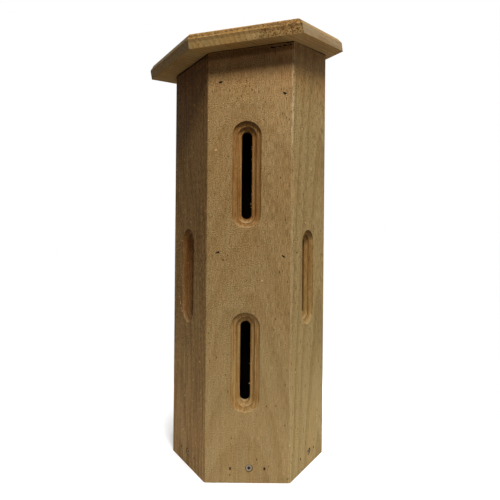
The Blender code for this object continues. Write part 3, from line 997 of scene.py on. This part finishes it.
class RoofTimber(Timber):
    """Wood of the roof board, with edges and bevels that differ from its faces. Flat holds
    millimetres along the front edge from its middle, across, and up from the underside."""

    def __init__(self, name, place, look, seed):
        super().__init__(name, place, look, seed)
        self.flat = self.millimetres(ROOF_PLACE)
        self.along, _, self.up = self.axes(self.flat)
        self.bevel = self.band(self.up, 10.2, 10.8, 15.6, 15.85)
        self.edge = self.band(self.up, 0.4, 0.8, 15.6, 15.85)
        self.front = self.product(self.band(self.along, -60, -57, 57, 60), self.edge)

    def dressed(self, wood):
        return self.gap_shade(self.torn_pores(self.front_edge(self.side_edges(wood))))

    def side_edges(self, wood):
        """Paler side edges, the right-hand one a painted highlight, darker bevels, and a paler
        end of the underside.
        """
        left, right = self.ramp(self.along, -57, -58.5), self.ramp(self.along, 57, 58.5)
        under = self.product(self.ramp(self.up, 0.4, 0.2), self.ramp(self.along, 32, 58))
        wood = self.tint(self.product(left, self.edge), wood, (1.2, 1.34, 1.88))
        # painted highlight on the right-hand edge
        wood = self.tint(self.product(right, self.edge), wood, (1.02, 1.19, 1.84))
        wood = self.tint(self.bevel, wood, (0.6, 0.54, 0.35))
        wood = self.tint(self.product(left, self.bevel), wood, (0.38, 0.42, 0.58))
        return self.tint(under, wood, (1.35, 1.35, 1.45))

    def front_edge(self, wood):
        """Bands of light and shade on the front edge and its bevel."""
        right_half = self.ramp(self.along, 15, 45)
        crease = self.band(self.up, 9.8, 10.2, 10.6, 11.2)
        below_crease = self.band(self.up, 6.2, 7.2, 9.5, 9.9)
        face = self.ramp(self.up, 10.2, 9.9)
        bevel_top = self.ramp(self.up, 13.6, 14.4)
        pale = self.product(self.band(self.along, -8, 4, 8, 20), self.ramp(self.up, 9.5, 7))
        for zone, factors in (
            (right_half, (1.13, 1.07, 1.03)), (crease, (1.14, 1.12, 1.06)),
            (below_crease, (0.74, 0.7, 0.68)), (face, (0.91, 0.965, 1.03)),
            (bevel_top, (1.2, 1.18, 1.1)), (pale, (1.15, 1.18, 1.25)),
        ):
            wood = self.tint(self.product(zone, self.front), wood, factors)
        return wood

    def torn_pores(self, wood):
        """Torn pores on the front, dense at its right and along the bevel and the lower edge."""
        patchy = self.linear(self.noise(self.flat, (0.06,) * 3), 30, self.along)
        dense = self.product(self.ramp(patchy, 14, 52), 0.64)
        bevel_row = self.product(self.band(self.up, 11, 12, 14, 15), 0.85)
        lower_row = self.product(
            self.band(self.up, 0.6, 1.2, 2.2, 3), self.ramp(self.along, -5, 20), 0.35)
        share = self.chain("ADD", dense, bevel_row, lower_row, 0.03)
        share = self.product(share, self.front)
        torn = self.spots(self.flat, (1 / 1.5, 1 / 1.5, 1 / 1.3), share, (0.75, 0.35), 0.7)
        return self.mix(torn, wood, self.mix(self.bevel, colour(78, 46, 14), colour(44, 25, 5)))

    def gap_shade(self, wood):
        """Painted shade on the underside over the walls' top edges and inside them.
        Opposite walls share a direction.
        """
        reach = 0
        for name in WALL_NAMES[:len(WALL_NAMES) // 2]:
            off = self.vector("DOT_PRODUCT", self.coordinates, outward(wall_heading(name)), "Value")
            reach = self.math("MAXIMUM", reach, self.math("ABSOLUTE", off))
        inside = self.ramp(reach, APOTHEM - GAP_START, APOTHEM - GAP_FULL)
        gap = self.product(inside, self.ramp(self.up, 0.8, 0.4))
        # painted shade in the gap under the roof and over the inside of the tower
        return self.mix(gap, wood, GAP_SHADE)


def plain_metal(name, base, dull, roughness, grain):
    """Metal with a mottled finish of two colours, and painted shade in its recess."""
    graph = Graph(bpy.data.materials.new(name))
    place = graph.node("TexCoord").outputs["Object"]
    patches = graph.noise(place, (grain,) * 3, 3)
    finish = graph.mix(graph.ramp(patches, 0.35, 0.7), base, dull)
    # painted shade in the screw's cross recess
    recess = graph.node("Attribute", attribute_name="recess_shade").outputs["Fac"]
    finish = graph.mix(recess, finish, RECESS_SHADE)
    graph.shade(Base_Color=finish, Metallic=1, Roughness=graph.linear(patches, 0.2, roughness))
    graph.bump(patches, 0.15, 0.0001)
    return graph.owner


# Stage

def seen(graph):
    """1 for rays from the camera and those that metal or glass sends on, 0 for others."""
    rays = graph.node("LightPath").outputs
    return graph.chain("MAXIMUM", *(rays[kind] for kind in SEEN_BY))


def white_ground():
    """Pale round table top, white to the camera, that keeps the object's shadow. Past its
    edge the floor is as white to the camera, but throws no light back."""
    work = bmesh.new()
    bmesh.ops.create_grid(work, x_segments=1, y_segments=1, size=GROUND_SIZE)
    floor = add_object("ground", mesh_from("ground", work))
    floor.location.z = FOOT_Z - GROUND_CLEARANCE
    graph = Graph(bpy.data.materials.new("ground"))
    place = graph.node("TexCoord").outputs["Object"]
    distance = graph.node("VectorMath", {0: place}, operation="LENGTH").outputs["Value"]
    outside = graph.ramp(distance, TABLE_RADIUS, TABLE_RADIUS * TABLE_FADE)
    glow = graph.linear(outside, 1 - TABLE_GLOW, TABLE_GLOW)
    graph.shade(
        Base_Color=graph.mix(outside, (TABLE_ALBEDO,) * 3, (BEYOND_ALBEDO,) * 3),
        Roughness=0.9, Specular_IOR_Level=0,
        Emission_Color=(1, 1, 1), Emission_Strength=graph.product(seen(graph), glow),
    )
    coat(floor.data, graph.owner)


def white_world():
    """White to the camera and in reflections, and dark to all other rays."""
    world = bpy.data.worlds.new("studio")
    bpy.context.scene.world = world
    graph = Graph(world, "Background")
    graph.shade(Color=(1, 1, 1), Strength=seen(graph))


def lamp(name, azimuth, elevation, distance, size, power):
    """Square soft box aimed at the tower's middle. Azimuth turns from the front to the right."""
    a, e = math.radians(azimuth), math.radians(elevation)
    away = Vector((math.sin(a) * math.cos(e), -math.cos(a) * math.cos(e), math.sin(e)))
    data = bpy.data.lights.new(name, "AREA")
    data.size = size
    data.energy = power
    made = add_object(name, data)
    target = Vector((0, 0, sum(corner[2] for corner in CAD_BOX) / 2))
    made.location = target + away * distance
    made.rotation_euler = away.to_track_quat("Z", "Y").to_euler()


def photo_camera():
    """Level camera with a slight roll, where the photograph was taken from."""
    data = bpy.data.cameras.new("camera")
    data.sensor_width = SENSOR_WIDTH
    data.lens = LENS
    data.shift_x, data.shift_y = LENS_SHIFT
    made = add_object("camera", data)
    level = Matrix.Rotation(math.pi / 2, 4, "X")
    roll = Matrix.Rotation(-CAMERA_ROLL, 4, "Y")
    made.matrix_world = Matrix.Translation(CAMERA_PLACE) @ roll @ level
    bpy.context.scene.camera = made


# Assembly

# Besides the wood, each look sets the painted shade under the eaves, a painted pool of light, painted
# highlights on the corners and at the slots' foot, and painted shade on the slot steps.
ANY_WOOD = dict(eaves_shade_from=395, light_pool=0, highlight=(0.4, 0.4), steps=0.95, pore_bands=0.5)
FRONT_WOOD = dict(
    ANY_WOOD, light=colour(161, 133, 90), dark=colour(120, 91, 51), patch=(1.01, 0.97, 0.93),
    ring_width=7, rings=0.17, streaks=0.6, fibres=1.2, fibre_cells=(1.3, 1.3, 0.12), grit=2.6,
    low_tint=(0.975, 1.03, 1.05), high_tint=(0.965, 0.95, 0.9), eaves_shade=(1.06, 0.92, 0.88),
    pores=0.06, pore_size=(1.4, 3.6), pore_bands=0.6, pore_colour=colour(84, 52, 24),
    cut=colour(146, 108, 62), torn=0.85, foot_highlight=1, flecks=0.001,
)
SIDE_WOOD = dict(
    ANY_WOOD, light=colour(172, 148, 100), dark=colour(123, 97, 53), patch=(1.02, 0.97, 0.92),
    ring_width=5, rings=0.25, streaks=1.1, fibres=1.7, fibre_cells=(1.3, 1.3, 0.12), grit=2.4,
    low_tint=(0.99, 1.01, 1.01), high_tint=(1.05, 1.03, 1), eaves_shade=(0.9, 0.74, 0.6),
    pores=0.16, pore_size=(1.3, 7), pore_colour=colour(92, 66, 34),
    cut=colour(136, 101, 56), torn=0.5, foot_highlight=0.5, flecks=0.002,
)
ROOF_WOOD = dict(
    ANY_WOOD, light=colour(160, 130, 80), dark=colour(114, 82, 40), patch=(1.05, 0.95, 0.8),
    ring_width=4.5, rings=0.28, streaks=0.8, fibres=0.9, fibre_cells=(1.2, 1.2, 0.1), grit=1.2,
    low_tint=UNCHANGED, high_tint=UNCHANGED, eaves_shade=UNCHANGED,
    pores=0.18, pore_size=(1.3, 14), pore_colour=colour(110, 74, 34),
    flecks=0, pith=(8, 20, 0, 0),
)
WALL_LOOKS = {
    "front": dict(FRONT_WOOD, pith=(-8, 95, 0.03, 0.1), highlight=(0.1, 1), light_pool=0.8),
    "right": dict(
        SIDE_WOOD, pith=(30, 60, 0.02, 0.06), pores=0.26, pore_size=(1.3, 5), rings=0.3,
        ring_width=11, highlight=(1, 0.4), streaks=0.6, fibre_cells=(0.85, 0.85, 0.1), fibres=1.4,
    ),
    "back_right": dict(SIDE_WOOD, pith=(0, 80, 0.03, 0.08)),
    "back": dict(FRONT_WOOD, pith=(20, -60, 0.02, -0.05)),
    "back_left": dict(SIDE_WOOD, pith=(-15, 75, 0, 0.09)),
    "left": dict(
        SIDE_WOOD, pith=(-25, 70, -0.03, 0.05), light=colour(156, 122, 78),
        dark=colour(104, 74, 38), low_tint=(0.98, 1.02, 0.99), high_tint=(0.94, 0.93, 0.84),
        eaves_shade=(0.62, 0.5, 0.4), eaves_shade_from=335, streaks=2, fibres=2, grit=3.6,
        highlight=(0.4, 0.1), fibre_cells=(0.85, 0.85, 0.2), cut=colour(122, 80, 42), torn=0.15,
        steps=0.5, flecks=0.03, foot_highlight=1.3,
    ),
}
FLOOR_WOOD = dict(SIDE_WOOD, pith=(-40, 10, 0, 0))
GLUE_LOOK = dict(
    SIDE_WOOD, light=colour(158, 128, 84), dark=colour(120, 92, 54), pith=(0, 50, 0, 0),
)
LOOSE_FIBRES = dict(
    FRONT_WOOD, light=colour(205, 182, 145), dark=colour(175, 148, 110), pith=(0, 50, 0, 0),
)
GLUE_SEED, ROOF_SEED, FLOOR_SEED, FIBRE_SEED = range(len(WALL_NAMES) + 1, len(WALL_NAMES) + 5)
ACROSS = Matrix.Rotation(math.radians(90), 4, "Y")  # lays grain that runs along Z down along X


def slot_for(name):
    return "wall_board_beech" if name == "front" else "wall_board_oak"


def build_walls():
    glue = Timber("glue", Matrix.Identity(4), GLUE_LOOK, GLUE_SEED).finished()
    for seed, name in enumerate(WALL_NAMES, 1):
        wood = BoardTimber("wood_" + name, wall_place(name), WALL_LOOKS[name], seed).finished()
        piece("board_" + name, wall_mesh(name), wood, slot_for(name), "wall_" + name)
        piece("glue_line_" + name, glue_line_mesh(name), glue, "wall_board_oak")
    fibres = Timber("fibres", wall_place("front"), LOOSE_FIBRES, FIBRE_SEED).finished()
    piece("splinters_front", splinters_mesh(), fibres, slot_for("front"))


def build_roof():
    grain = Matrix.Rotation(ROOF_GRAIN, 4, "Z") @ ACROSS
    wood = RoofTimber("wood_roof", ROOF_PLACE @ grain, ROOF_WOOD, ROOF_SEED).finished()
    piece("roof_cap", roof_mesh(), wood, "roof_board", "roof_board")


def build_screws(zinc):
    for name in WALL_NAMES:
        start, along, end = fastener_axis("floor_screw_" + name)
        mesh = screw_mesh((end - start).length)
        mesh.transform(aimed(start, -along))
        piece("screw_" + name, mesh, zinc, "zinc_screw", "floor_screw_" + name)


def dress_nodes(steel):
    """Finishes for the solids that are shown as they were packed: the brads and the floor."""
    finishes = {name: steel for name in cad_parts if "_brad_" in name}
    finishes["floor_board"] = Timber("wood_floor", ACROSS, FLOOR_WOOD, FLOOR_SEED).finished()
    for name, finish in finishes.items():
        coat(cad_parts[name].data, finish)


def light_scene():
    white_world()
    for setting in LAMPS:
        lamp(*setting)


zinc = plain_metal("zinc", (0.32, 0.28, 0.22), (0.22, 0.19, 0.14), 0.5, 1500)
steel = plain_metal("steel", (0.03, 0.018, 0.012), (0.015, 0.009, 0.006), 0.6, 2500)
build_walls()
build_roof()
build_screws(zinc)
dress_nodes(steel)
white_ground()
light_scene()
photo_camera()
bpy.context.scene.view_settings.view_transform = "Standard"
